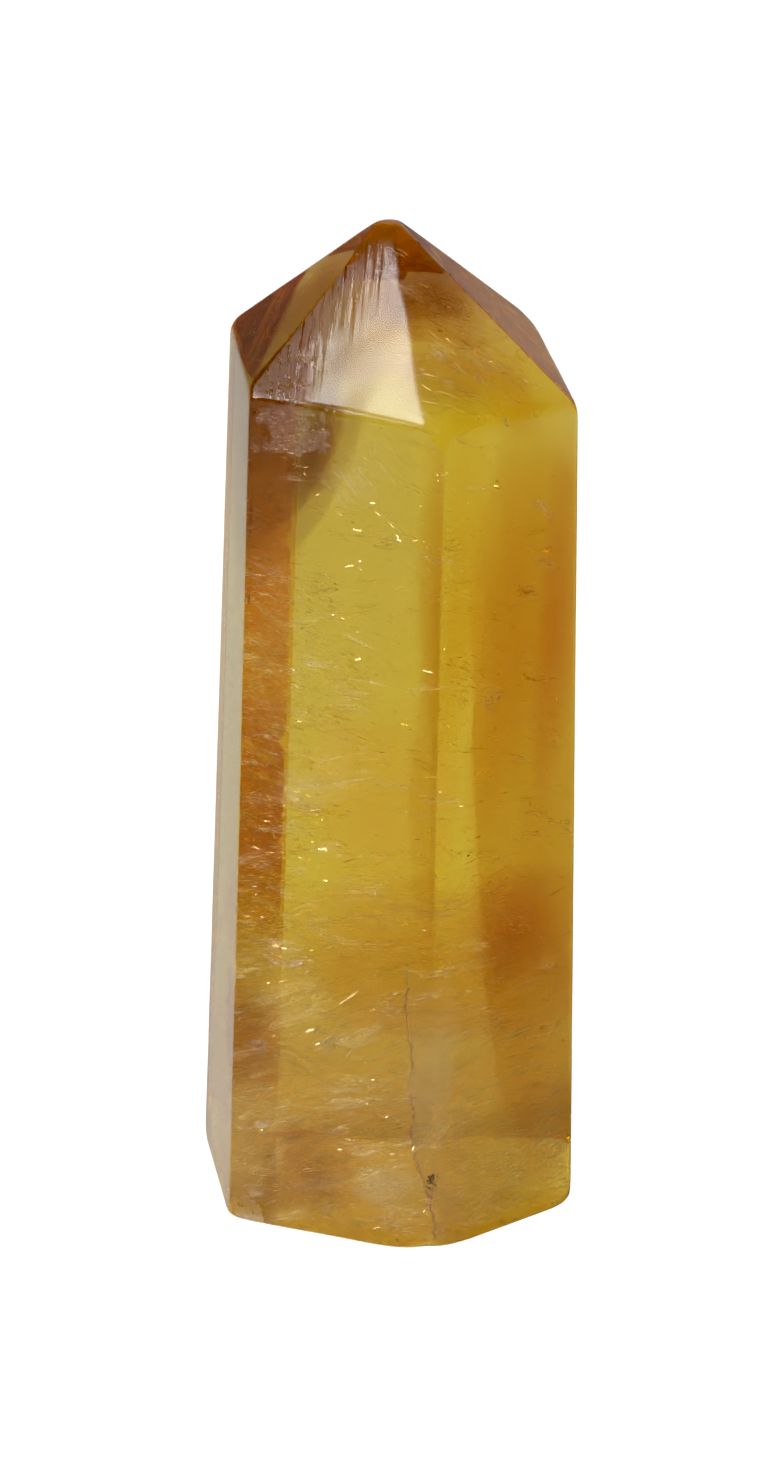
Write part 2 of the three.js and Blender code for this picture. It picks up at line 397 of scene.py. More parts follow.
# ------------------------------------------------------------------- materials
class Mat:
    """A small helper for node materials."""

    def __init__(self, name):
        self.m = bpy.data.materials.new(name)
        self.m.use_nodes = True
        self.t = self.m.node_tree
        self.b = self.t.nodes["Principled BSDF"]
        self.out = self.t.nodes["Material Output"]

    def node(self, kind, **props):
        n = self.t.nodes.new(kind)
        for k, v in props.items():
            setattr(n, k, v)
        return n

    def link(self, a, b):
        self.t.links.new(a, b)

    def set(self, **values):
        for k, v in values.items():
            self.b.inputs[k.replace("_", " ")].default_value = v

    def place(self, scale=(1, 1, 1), turn=(0, 0, 0)):
        """Position in mm, turned and scaled."""
        g = self.node("ShaderNodeTexCoord")
        a = self.node("ShaderNodeMapping")
        a.inputs["Rotation"].default_value = turn
        a.inputs["Scale"].default_value = (1000, 1000, 1000)
        b = self.node("ShaderNodeMapping")
        b.inputs["Scale"].default_value = scale
        self.link(g.outputs["Object"], a.inputs["Vector"])
        self.link(a.outputs["Vector"], b.inputs["Vector"])
        return b.outputs["Vector"]

    def noise(self, vector, scale, detail=3.0, rough=0.55, distortion=0.0):
        n = self.node("ShaderNodeTexNoise")
        n.inputs["Scale"].default_value = scale
        n.inputs["Detail"].default_value = detail
        n.inputs["Roughness"].default_value = rough
        n.inputs["Distortion"].default_value = distortion
        self.link(vector, n.inputs["Vector"])
        return n.outputs["Fac"]

    def math(self, op, a, b=None, clamp=False):
        n = self.node("ShaderNodeMath", operation=op, use_clamp=clamp)
        for i, x in enumerate((a, b)):
            if x is None:
                continue
            if isinstance(x, (int, float)):
                n.inputs[i].default_value = x
            else:
                self.link(x, n.inputs[i])
        return n.outputs[0]

    def ramp(self, x, a, b, lo=0.0, hi=1.0, smooth=True):
        n = self.node("ShaderNodeMapRange", interpolation_type="SMOOTHSTEP" if smooth else "LINEAR", clamp=True)
        for k, v in (("From Min", a), ("From Max", b), ("To Min", lo), ("To Max", hi)):
            n.inputs[k].default_value = v
        self.link(x, n.inputs["Value"])
        return n.outputs["Result"]

    def mix(self, fac, a, b):
        n = self.node("ShaderNodeMix", data_type="RGBA")
        for i, x in ((0, fac), (6, a), (7, b)):
            if isinstance(x, (tuple, list)):
                n.inputs[i].default_value = (*x, 1) if len(x) == 3 else x
            elif isinstance(x, (int, float)):
                n.inputs[i].default_value = x
            else:
                self.link(x, n.inputs[i])
        return n.outputs[2]

    def along(self, axis, vector=None):
        """Position in mm measured along an axis."""
        if vector is None:
            vector = self.place()
        d = self.node("ShaderNodeVectorMath", operation="DOT_PRODUCT")
        self.link(vector, d.inputs[0])
        d.inputs[1].default_value = tuple(float(x) for x in axis)
        return d.outputs["Value"]

    def bump(self, height, distance_mm, strength=1.0, before=None):
        b = self.node("ShaderNodeBump")
        b.inputs["Strength"].default_value = strength
        b.inputs["Distance"].default_value = distance_mm * MM
        self.link(height, b.inputs["Height"])
        if before is not None:
            self.link(before, b.inputs["Normal"])
        return b.outputs["Normal"]

    def absorb(self, sigma):
        """Plain absorption of sigma = (r, g, b) per metre."""
        density = max(sigma) * 1.0
        v = self.node("ShaderNodeVolumeAbsorption")
        v.inputs["Color"].default_value = tuple(1 - s / density * 0.96 for s in sigma) + (1,)
        v.inputs["Density"].default_value = density / 0.96
        self.link(v.outputs[0], self.out.inputs["Volume"])


def golden_fluorite():
    m = Mat("golden_fluorite")
    m.set(IOR=IOR, Roughness=0.03)
    m.b.inputs["Base Color"].default_value = (1, 1, 1, 1)
    m.absorb((1.2, 12.5, 102.0))
    mm = m.place()
    z = m.along((0, 0, 1), mm)
    geo = m.node("ShaderNodeNewGeometry")
    n7 = NORMALS[FRONT_TIP]
    # how much a place belongs to the front tip facet
    dot = m.node("ShaderNodeVectorMath", operation="DOT_PRODUCT")
    m.link(geo.outputs["Normal"], dot.inputs[0])
    dot.inputs[1].default_value = tuple(n7)
    on_tip = m.math("MULTIPLY", m.ramp(dot.outputs["Value"], 0.93, 0.975), m.ramp(z, 66.0, 67.5))
    # left-hand side of that facet: distance from the rolled arris
    from_arris = m.node("ShaderNodeMath", operation="SUBTRACT")
    m.link(m.along(inward, mm), from_arris.inputs[0])
    from_arris.inputs[1].default_value = float(inward @ SHOULDERS[0])
    rough_side = m.ramp(from_arris.outputs[0], 0.4, 5.5, 1.0, 0.0)
    low_side = m.ramp(z, 68.5, 73.5, 1.0, 0.0)
    # lap scratches, straight up the facet
    across = unit(np.cross(NORMALS[FRONT_TIP], cam_up))
    along_ = unit(np.cross(across, NORMALS[FRONT_TIP]))
    comb = m.node("ShaderNodeCombineXYZ")
    m.link(m.math("MULTIPLY", m.along(across, mm), 2.3), comb.inputs[0])
    m.link(m.math("MULTIPLY", m.along(along_, mm), 0.13), comb.inputs[1])
    scratch = m.noise(comb.outputs[0], 1.0, detail=2, rough=0.6)
    scratch = m.math("MULTIPLY", m.math("SUBTRACT", scratch, 0.5), m.math("ADD", m.math("MULTIPLY", rough_side, 0.30), 0.008))
    comb2 = m.node("ShaderNodeCombineXYZ")
    m.link(m.math("MULTIPLY", m.along(across, mm), 1.5), comb2.inputs[0])
    m.link(m.math("MULTIPLY", m.along(along_, mm), 0.55), comb2.inputs[1])
    pits = m.noise(comb2.outputs[0], 1.6, detail=3, rough=0.65)
    pits = m.ramp(pits, 0.54, 0.70, 0.0, -0.30)
    near_arris = m.ramp(from_arris.outputs[0], 1.2, 4.6, 1.0, 0.0)
    pits = m.math("MULTIPLY", pits, m.math("MULTIPLY", near_arris, low_side))
    # the last half millimetre above the shoulder edge was polished again and is smooth
    clean = m.ramp(m.along(along_, mm), float(along_ @ ((SHOULDERS[0] + SHOULDERS[1]) / 2)) + 0.5,
                   float(along_ @ ((SHOULDERS[0] + SHOULDERS[1]) / 2)) + 1.3, 0.1, 1.0)
    relief = m.math("ADD", scratch, pits)
    relief = m.math("MULTIPLY", m.math("MULTIPLY", relief, on_tip), clean)
    # fine polish lines everywhere, and the shattered skin of the chips
    att = m.node("ShaderNodeAttribute", attribute_name="chip")
    chip = att.outputs["Fac"]
    polish = m.noise(m.place(scale=(1, 1, 0.35)), 2.4, detail=2)
    crush = m.noise(mm, 6.0, detail=4, rough=0.7)
    relief = m.math("ADD", relief, m.math("MULTIPLY", m.math("SUBTRACT", polish, 0.5), 0.005))
    relief = m.math("ADD", relief, m.math("MULTIPLY", m.math("SUBTRACT", crush, 0.5), m.math("MULTIPLY", chip, 0.5)))
    m.link(m.bump(relief, 0.16), m.b.inputs["Normal"])
    worn = m.node("ShaderNodeAttribute", attribute_name="arris")
    smear = m.ramp(m.noise(mm, 0.30, detail=5, rough=0.7), 0.58, 0.74, 0.0, 0.05)
    rough = m.math("ADD", smear, m.math("MULTIPLY", chip, 0.4))
    rough = m.math("ADD", rough, m.math("MULTIPLY", m.ramp(worn.outputs["Fac"], 0.55, 1.0), m.ramp(crush, 0.45, 0.6, 0.0, 0.22)))
    rough = m.math("MAXIMUM", rough, m.math("MULTIPLY", on_tip, 0.14))
    # the lap left torn lines, closed up at the left limit of that facet and thinning out to the right
    limit0, limit1 = on_flat(372, 240, FRONT_TIP), on_flat(262, 401, FRONT_TIP)
    to_right = unit(np.cross(n7, unit(limit1 - limit0)))
    if to_right @ (on_flat(420, 400, FRONT_TIP) - limit0) < 0:
        to_right = -to_right
    inside = m.math("SUBTRACT", m.along(to_right, mm), float(to_right @ limit0))
    lane = m.node("ShaderNodeCombineXYZ")
    m.link(m.math("MULTIPLY", m.along(across, mm), 3.4), lane.inputs[0])
    m.link(m.math("MULTIPLY", m.along(along_, mm), 0.17), lane.inputs[1])
    torn = m.noise(lane.outputs[0], 1.0, detail=2, rough=0.6)
    fleck = m.node("ShaderNodeCombineXYZ")
    m.link(m.math("MULTIPLY", m.along(across, mm), 2.6), fleck.inputs[0])
    m.link(m.math("MULTIPLY", m.along(along_, mm), 1.3), fleck.inputs[1])
    flecks = m.noise(fleck.outputs[0], 1.0, detail=3, rough=0.65)
    both = m.node("ShaderNodeMix", data_type="FLOAT")
    m.link(m.ramp(z, 69.0, 73.0, 0.75, 0.0), both.inputs[0])
    m.link(torn, both.inputs[2])
    m.link(flecks, both.inputs[3])
    wander = m.math("MULTIPLY", m.math("SUBTRACT", m.noise(mm, 0.45, detail=2), 0.5), 1.8)
    reach = m.math("ADD", inside, wander)
    closed = m.math("ADD", m.ramp(reach, -0.4, 1.3, 0.13, 0.0, smooth=False), m.ramp(reach, 1.3, 4.2, 0.0, -0.28, smooth=False))
    torn = m.ramp(m.math("ADD", both.outputs[0], closed), 0.50, 0.56)
    torn = m.math("MULTIPLY", m.math("MULTIPLY", torn, on_tip), m.math("MULTIPLY", clean, m.ramp(z, 76.0, 78.2, 1.0, 0.25)))
    rough = m.math("MAXIMUM", rough, m.math("MULTIPLY", torn, 0.42))
    # the sawn base was left matt
    down = m.node("ShaderNodeVectorMath", operation="DOT_PRODUCT")
    m.link(geo.outputs["Normal"], down.inputs[0])
    down.inputs[1].default_value = (0, 0, -1)
    rough = m.math("MAXIMUM", rough, m.ramp(down.outputs["Value"], 0.85, 0.97, 0.0, 0.34))
    # a scuffed patch just under the front-left shoulder
    a0, a1, b1 = on_flat(264, 425, 1), on_flat(322, 433, 1), on_flat(264, 450, 1)
    e1 = unit(a1 - a0)
    e2 = unit(a0 - b1 - e1 * float((a0 - b1) @ e1))
    s1 = m.math("DIVIDE", m.math("SUBTRACT", m.along(e1, mm), float(e1 @ a0)), float((a1 - a0) @ e1))
    s2 = m.math("DIVIDE", m.math("SUBTRACT", m.along(e2, mm), float(e2 @ b1)), float((a0 - b1) @ e2))
    ragged = m.math("MULTIPLY", m.math("SUBTRACT", m.noise(mm, 0.8, detail=5, rough=0.7), 0.5), 2.2)
    s1, s2 = m.math("ADD", s1, ragged), m.math("ADD", s2, ragged)
    patch = m.math("MULTIPLY", m.ramp(s1, -0.05, 0.12), m.ramp(s1, 0.85, 1.1, 1.0, 0.0))
    patch = m.math("MULTIPLY", patch, m.math("MULTIPLY", m.ramp(s2, -0.05, 0.10), m.ramp(s2, 1.6, 2.1, 1.0, 0.0)))
    flat1 = m.node("ShaderNodeVectorMath", operation="DOT_PRODUCT")
    m.link(geo.outputs["Normal"], flat1.inputs[0])
    flat1.inputs[1].default_value = tuple(NORMALS[1])
    patch = m.math("MULTIPLY", patch, m.ramp(flat1.outputs["Value"], 0.97, 0.99))
    fine = m.node("ShaderNodeCombineXYZ")
    m.link(m.math("MULTIPLY", m.along(e1, mm), 1.6), fine.inputs[0])
    m.link(m.math("MULTIPLY", m.along(e2, mm), 3.4), fine.inputs[1])
    patch = m.math("MULTIPLY", patch, m.ramp(m.noise(fine.outputs[0], 1.4, detail=4, rough=0.65), 0.40, 0.66, 0.22, 1.0))
    rough = m.math("MAXIMUM", rough, m.math("MULTIPLY", patch, 0.3))
    m.link(rough, m.b.inputs["Roughness"])
    white = m.math("MULTIPLY", m.math("MULTIPLY", chip, m.ramp(z, 0.35, 1.0, 1.0, 0.12)), m.ramp(crush, 0.44, 0.60, 0.03, 0.26))
    frosted = m.math("MAXIMUM", white, m.math("MULTIPLY", patch, 0.11))
    m.link(m.mix(patch, (1, 1, 1), (1.0, 0.80, 0.58)), m.b.inputs["Base Color"])
    m.link(m.math("SUBTRACT", 1.0, frosted), m.b.inputs["Transmission Weight"])
    return m.m


crystal = build_crystal()
crystal.data.materials.append(golden_fluorite())
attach(crystal, "root")
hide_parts("fluorite_point")


# ------------------------------------------------------------ colour zones and haze, sealed in
def lump(radii, turn, centre, seed, rough, margin, axes=None):
    """A lumpy closed lens, thinning out to its rim so that it has no visible edge, trimmed to stay inside the stone."""
    bm = bmesh.new()
    bmesh.ops.create_icosphere(bm, subdivisions=5, radius=1.0)
    p = np.array([v.co[:] for v in bm.verts])
    faces = [[v.index for v in f.verts] for f in bm.faces]
    bm.free()
    rim = np.sqrt(np.clip(p[:, 0] ** 2 + p[:, 2] ** 2, 0, 1))
    p[:, 1] *= np.clip(1 - rim ** 2, 0, 1) ** 1.1 + max(0.02, 0.07 / radii[1])
    r = 1 + rough * noise(p * 3.1, seed, 1.0) + 0.5 * rough * noise(p * 3.1, seed + 1, 0.45)
    rot = np.array(Matrix.Rotation(math.radians(turn[2]), 3, "Z") @ Matrix.Rotation(math.radians(turn[1]), 3, "Y")
                   @ Matrix.Rotation(math.radians(turn[0]), 3, "X"))
    if axes is not None:
        rot = axes
    v = (p * r[:, None] * np.array(radii)) @ rot.T
    centre = np.asarray(centre, float)
    lim = (REACH - margin) - centre @ NORMALS.T
    ahead = v @ NORMALS.T
    k = np.where(ahead > 1e-9, lim / np.maximum(ahead, 1e-9), 1e9).min(axis=1)
    v = v * np.minimum(k, 1.0)[:, None]
    for _ in range(5):
        over = Field(centre + v)(centre + v) + margin
        size = np.sqrt((v ** 2).sum(1))
        v = v * np.clip(1 - np.maximum(over, 0) * 1.3 / np.maximum(size, 1e-6), 0.2, 1)[:, None]
    return centre + v, faces


def bare_skin(name):
    m = Mat(name)
    m.set(IOR=1.0, Transmission_Weight=1.0, Roughness=0.0)
    m.b.inputs["Base Color"].default_value = (1, 1, 1, 1)
    m.b.inputs["Specular IOR Level"].default_value = 0.0
    return m


def zone(name, centre, radii, turn, sigma, seed, rough=0.12, margin=0.3):
    """A soft-edged cloud of deeper colour."""
    m = bare_skin(name)
    m.absorb(sigma)
    v, faces = lump(radii, turn, centre, seed, rough, margin)
    return make(name, v, faces, m.m)


def patch_zone(name, u, v, depth, wide, high, deep, roll, sigma, seed, margin, rough=0.22):
    """A cloud of deeper colour that shows at frame position (u, v), half sizes in mm, long side turned by roll."""
    q, bent, room = look([u], [v], [depth])
    y = bent[0]
    a = math.radians(roll)
    x = cam_right * math.cos(a) + cam_up * math.sin(a)
    x = unit(x - y * float(x @ y))
    m = bare_skin(name)
    m.absorb(sigma)
    vv, faces = lump((wide, deep, high), (0, 0, 0), q[0], seed, rough, margin, axes=np.column_stack([x, y, np.cross(x, y)]))
    return make(name, vv, faces, m.m)


def patch_haze(name, u, v, depth, wide, high, deep, roll, density, seed, colour, margin, rough=0.25):
    """The same, of specks that scatter."""
    obj = patch_zone(name, u, v, depth, wide, high, deep, roll, (1, 1, 1), seed, margin, rough)
    nt = obj.data.materials[0].node_tree
    out = [n for n in nt.nodes if n.bl_idname == "ShaderNodeOutputMaterial"][0]
    nt.nodes.remove([n for n in nt.nodes if n.bl_idname == "ShaderNodeVolumeAbsorption"][0])
    s = nt.nodes.new("ShaderNodeVolumeScatter")
    s.inputs["Color"].default_value = (*colour, 1)
    s.inputs["Density"].default_value = density
    nt.links.new(s.outputs[0], out.inputs["Volume"])
    return obj


def haze(name, centre, radii, turn, density, seed, colour=(1.0, 0.96, 0.9), rough=0.12, margin=0.3, forward=0.35):
    """A cloud of specks too small to see one by one."""
    m = bare_skin(name)
    s = m.node("ShaderNodeVolumeScatter")
    s.inputs["Color"].default_value = (*colour, 1)
    s.inputs["Density"].default_value = density
    s.inputs["Anisotropy"].default_value = forward
    m.link(s.outputs[0], m.out.inputs["Volume"])
    v, faces = lump(radii, turn, centre, seed, rough, margin)
    return make(name, v, faces, m.m)


zone("brown_zone_1", (-9.6, -3.0, 64.5), (5.8, 13.0, 14.5), (0, 24, 0), (40, 55, 45), 41, margin=0.30)
zone("brown_zone_2", (-9.6, -3.0, 64.5), (8.2, 16.0, 19.0), (0, 24, 0), (30, 42, 35), 42, margin=0.313)
zone("apex_zone", (-0.3, 0.0, 76.6), (8.0, 9.5, 6.0), (0, 10, 0), (28, 42, 18), 61, margin=0.475)
zone("tip_zone", (-1.0, 0.0, 73.8), (17, 17, 7.6), (0, 8, 0), (10, 30, 30), 47, margin=0.41)
zone("right_tip_zone", (3.4, -1.6, 74.6), (6.5, 7.0, 5.0), (0, 14, 0), (36, 66, 36), 63, margin=0.53)
zone("amber_zone", (10.2, -0.5, 36.0), (7.6, 17.0, 38.0), (0, -1.5, 0), (13, 33, 85), 43, margin=0.37)
patch_zone("right_skin_zone", 512, 655, 2.6, 4.9, 20.0, 1.7, 0, (12, 88, 190), 78, 0.312, rough=0.0)
zone("umber_band", (6.0, 0.0, 20.5), (17.0, 15.0, 7.5), (0, 0, 0), (5, 16, 20), 45, rough=0.2, margin=0.44)
patch_zone("left_tip_cloud", 308, 296, 2.3, 5.6, 2.2, 2.2, 52, (38, 105, 210), 72, 0.425)
patch_zone("apex_cloud", 433, 294, 2.6, 3.7, 3.1, 2.3, -30, (54, 98, 80), 79, 0.445)
patch_zone("girdle_cloud", 450, 386, 2.6, 4.0, 2.8, 2.2, -20, (44, 72, 26), 80, 0.455)
patch_zone("right_tip_cloud", 492, 378, 3.2, 4.8, 3.2, 3.0, -35, (18, 50, 60), 73, 0.435)
patch_zone("brown_wedge", 314, 456, 6.0, 2.0, 4.6, 5.5, -21, (50, 105, 160), 65, 0.335)
patch_zone("brown_cloud_1", 246, 1038, 3.5, 3.5, 5.6, 3.2, 0, (72, 140, 205), 66, 0.345)
patch_zone("brown_cloud_2", 308, 1165, 3.5, 4.8, 5.0, 2.8, 4, (62, 105, 72), 67, 0.355)
patch_zone("brown_cloud_3", 262, 1196, 3.0, 3.4, 2.2, 2.6, 4, (40, 75, 60), 68, 0.365)
patch_zone("umber_right", 512, 930, 3.8, 4.8, 5.6, 2.8, -4, (30, 78, 60), 75, 0.385, rough=0.1)
zone("rose_zone", (0.0, 0.0, 5.5), (18.0, 16.0, 13.0), (0, 0, 0), (0.3, 9.5, 1.5), 81, rough=0.15, margin=0.395)
patch_zone("amber_mid", 375, 800, 5.0, 7.0, 9.0, 4.0, 0, (1, 20, 26), 82, 0.405)
patch_zone("arris_zone", 461, 640, 1.6, 2.8, 21.0, 1.1, 0, (25, 115, 400), 81, 0.335, rough=0.0)
patch_zone("edge_zone", 556, 650, 2.4, 2.2, 20.0, 2.2, 0, (16, 100, 110), 70, 0.325, rough=0.05)
haze("haze_core", (0, 0, 38), (18, 15, 60), (0, 0, 0), 4.0, 51, rough=0.0, margin=0.23, forward=0.0)
haze("haze_foot", (0, 0, 3), (22, 24, 26), (0, 8, 0), 50.0, 53, colour=(1, 0.92, 0.86), margin=0.51, forward=0.0)
haze("haze_heart", (-3, -5, 54), (9, 10, 20), (0, 6, 0), 12.0, 57, colour=(0.97, 1.0, 0.85), margin=0.61, forward=0.0)
patch_haze("cream_patch_1", 390, 1182, 2.2, 3.1, 2.3, 1.5, 8, 210.0, 76, (1.0, 0.94, 0.74), 0.74)
patch_haze("haze_crack", 428, 1075, 2.4, 2.3, 9.5, 1.8, 0, 150.0, 77, (1.0, 0.80, 0.66), 0.78)


# ----------------------------------------------------------------- fibres, flakes, veils
def spindles(name, centre, direction, length, width, material, bend=0.04, seed=1):
    """Thin closed needles, each a three-sided spindle, a little bent."""
    g = np.random.default_rng(seed)
    n = len(centre)
    d = direction / np.linalg.norm(direction, axis=1)[:, None]
    s = np.cross(d, g.normal(size=(n, 3)))
    s /= np.linalg.norm(s, axis=1)[:, None]
    t = np.cross(d, s)
    mid = centre + s * (g.normal(0, bend, n) * length)[:, None]
    half = (length / 2)[:, None] * d
    verts = np.empty((n, 5, 3))
    verts[:, 0] = centre - half
    verts[:, 1] = centre + half
    for k in range(3):
        a = 2 * math.pi * k / 3
        verts[:, 2 + k] = mid + (width / 2)[:, None] * (math.cos(a) * s + math.sin(a) * t)
    base = np.array([(0, 3, 2), (0, 4, 3), (0, 2, 4), (1, 2, 3), (1, 3, 4), (1, 4, 2)])
    ok = keep_inside(verts[:, 0], 0.12) & keep_inside(verts[:, 1], 0.12) & keep_inside(verts[:, 2], 0.12)
    verts = verts[ok]
    faces = (base[None] + 5 * np.arange(len(verts))[:, None, None]).reshape(-1, 3)
    return make(name, verts.reshape(-1, 3), faces, material)


def fibre_material(name, colour, darker, rough=0.45, metal=0.0):
    m = Mat(name)
    m.link(m.mix(m.noise(m.place(), 0.9, detail=2), colour, darker), m.b.inputs["Base Color"])
    m.set(Roughness=rough, Metallic=metal)
    return m.m


def screen_direction(angle, lean, g, n):
    """Directions that cross the view at `angle` degrees above the horizontal, leaning `lean` degrees in depth."""
    a, b = np.radians(angle), np.radians(lean)
    ahead = unit([0, 1, 0])
    return (np.cos(b) * np.cos(a))[:, None] * cam_right + (np.cos(b) * np.sin(a))[:, None] * cam_up + np.sin(b)[:, None] * ahead


def bundle_field(seed, clusters, per, size, angle_of, weight, long, wide):
    """Fibres in flattened bundles through the whole stone; weight(p) says how likely a bundle is at p."""
    g = np.random.default_rng(seed)
    c = np.empty((0, 3))
    while len(c) < clusters:
        p = np.column_stack([g.uniform(-14.5, 14.5, 4000), g.uniform(-15.6, 15.6, 4000), g.uniform(0.3, 79, 4000)])
        p = p[keep_inside(p, 0.4)]
        p = p[g.uniform(size=len(p)) < weight(p)]
        c = np.vstack([c, p])
    c = c[:clusters]
    ang = angle_of(c) + g.normal(0, 8, clusters)
    lean = g.normal(0, 28, clusters)
    d = screen_direction(ang, lean, g, clusters)
    across = np.cross(d, g.normal(size=(clusters, 3)))
    across /= np.linalg.norm(across, axis=1)[:, None]
    third = np.cross(d, across)
    k = np.maximum(3, g.gamma(2.0, per / 2.0, clusters).astype(int))
    i = np.repeat(np.arange(clusters), k)
    n = len(i)
    s = size * g.gamma(3.0, 1 / 3.0, clusters)[i]
    p = (c[i] + d[i] * (g.normal(0, 1.1, n) * s)[:, None] + across[i] * (g.normal(0, 0.9, n) * s)[:, None]
         + third[i] * (g.normal(0, 0.16, n) * s)[:, None])
    dirs = d[i] + 0.12 * g.normal(size=(n, 3))
    length = long * g.lognormal(0, 0.5, n)
    width = wide * g.lognormal(0, 0.35, n)
    ok = keep_inside(p, 0.25)
    return p[ok], dirs[ok], length[ok], width[ok]


def step(x, a, b):
    t = np.clip((x - a) / (b - a), 0, 1)
    return t * t * (3 - 2 * t)


def tilt_by_height(p):
    """Fibres run down to the right in the tip, almost level in the middle, and rise to the right near the foot."""
    return -26 * step(p[:, 2], 56, 70) - 12 * step(p[:, 2], 24, 36) * (1 - step(p[:, 2], 56, 70)) + 9 * (1 - step(p[:, 2], 14, 30))


def where_fibres(p):
    x, z = p[:, 0], p[:, 2]
    w = 0.10 + 0.55 * (1 - step(z, 14, 28)) + 0.5 * (1 - step(x, -6.5, -2.5)) * (1 - step(z, 48, 58)) + 0.5 * step(z, 64, 69) * step(x, -1, 3)
    return np.clip(w, 0, 1)


pale = fibre_material("pale_fibre", (0.99, 0.90, 0.68), (0.96, 0.80, 0.50), rough=0.3)
rust = fibre_material("rust_fibre", (0.42, 0.24, 0.10), (0.24, 0.12, 0.05), rough=0.6)
p, d, L, W = bundle_field(101, 330, 22, 1.5, tilt_by_height, where_fibres, 0.62, 0.05)
spindles("pale_fibres", p, d, L, W, pale, bend=0.01, seed=102)
p, d, L, W = bundle_field(103, 46, 9, 1.0, tilt_by_height, lambda q: where_fibres(q), 0.9, 0.022)
spindles("rust_fibres", p, d, L, W, rust, bend=0.015, seed=104)


def sheets(name, centre, normal, run, half_long, half_wide, material, seed=1, cols=9, rows=5, ripple=0.03):
    """Thin ragged sheets, each a small rippled grid that carries its own position in mm as attributes."""
    g = np.random.default_rng(seed)
    n = len(centre)
    nn = normal / np.linalg.norm(normal, axis=1)[:, None]
    a = run - (run * nn).sum(1)[:, None] * nn
    a /= np.linalg.norm(a, axis=1)[:, None]
    b = np.cross(nn, a)
    s, t = np.meshgrid(np.linspace(-1, 1, cols), np.linspace(-1, 1, rows))
    s, t = s.ravel(), t.ravel()
    x, y = s[None] * half_long[:, None], t[None] * half_wide[:, None]
    curl = g.normal(0, 0.03, n)
    p = (centre[:, None] + a[:, None] * x[..., None] + b[:, None] * (y + curl[:, None] * half_long[:, None] * (1 - s[None] ** 2))[..., None])
    flat = p.reshape(-1, 3)
    amp = np.repeat(ripple * np.sqrt(half_long * half_wide), cols * rows)
    flat = flat + np.repeat(nn, cols * rows, axis=0) * (amp * noise(flat, 401, 1.3))[:, None]
    over = flat @ NORMALS.T - REACH
    worst = over.argmax(axis=1)
    gap = np.maximum(over.max(axis=1) + 0.14, 0)
    flat = flat - NORMALS[worst] * gap[:, None]
    for _ in range(2):
        field = Field(flat)
        flat = flat - field.gradient(flat) * np.maximum(field(flat) + 0.10, 0)[:, None]
    good = (gap.reshape(n, -1).max(axis=1) < 1.2)
    flat = flat.reshape(n, -1, 3)[good]
    i = np.arange(cols * rows).reshape(rows, cols)
    quad = np.stack([i[:-1, :-1], i[:-1, 1:], i[1:, 1:], i[1:, :-1]], axis=-1).reshape(-1, 4)
    faces = (quad[None] + cols * rows * np.arange(len(flat))[:, None, None]).reshape(-1, 4)
    obj = make(name, flat.reshape(-1, 3), faces, material)
    k = int(good.sum())
    attribute(obj.data, "s", np.tile(s, k))
    attribute(obj.data, "t", np.tile(t, k))
    attribute(obj.data, "x_mm", x[good].ravel())
    attribute(obj.data, "y_mm", y[good].ravel())
    attribute(obj.data, "which", np.repeat(g.uniform(0, 40, k), cols * rows))
    return obj


def silk_material(name, colour, other, most, along_scale=0.45, across_scale=5.0, lo=0.42, hi=0.66, rough=0.45, cloud=True):
    """A silky film of parallel streaks that fades out at its rim."""
    m = Mat(name)
    att = {k: m.node("ShaderNodeAttribute", attribute_name=k).outputs["Fac"] for k in ("s", "t", "x_mm", "y_mm", "which")}
    c = m.node("ShaderNodeCombineXYZ")
    m.link(m.math("MULTIPLY", att["x_mm"], along_scale), c.inputs[0])
    m.link(m.math("MULTIPLY", att["y_mm"], across_scale), c.inputs[1])
    m.link(att["which"], c.inputs[2])
    streak = m.ramp(m.noise(c.outputs[0], 1.0, detail=3, rough=0.6), lo, hi)
    fade = m.math("MULTIPLY", m.ramp(m.math("ABSOLUTE", att["s"]), 0.25, 1.0, 1.0, 0.0), m.ramp(m.math("ABSOLUTE", att["t"]), 0.3, 1.0, 1.0, 0.0))
    alpha = m.math("MULTIPLY", streak, fade)
    if cloud:
        c2 = m.node("ShaderNodeCombineXYZ")
        m.link(m.math("MULTIPLY", att["x_mm"], 0.7), c2.inputs[0])
        m.link(m.math("MULTIPLY", att["y_mm"], 1.4), c2.inputs[1])
        m.link(m.math("MULTIPLY", att["which"], 3.0), c2.inputs[2])
        alpha = m.math("MULTIPLY", alpha, m.ramp(m.noise(c2.outputs[0], 1.0, detail=2), 0.32, 0.62, 0.25, 1.0))
    m.link(m.math("MULTIPLY", alpha, most), m.b.inputs["Alpha"])
    m.link(m.mix(m.noise(c.outputs[0], 0.5, detail=2), colour, other), m.b.inputs["Base Color"])
    m.set(Roughness=rough)
    return m.m


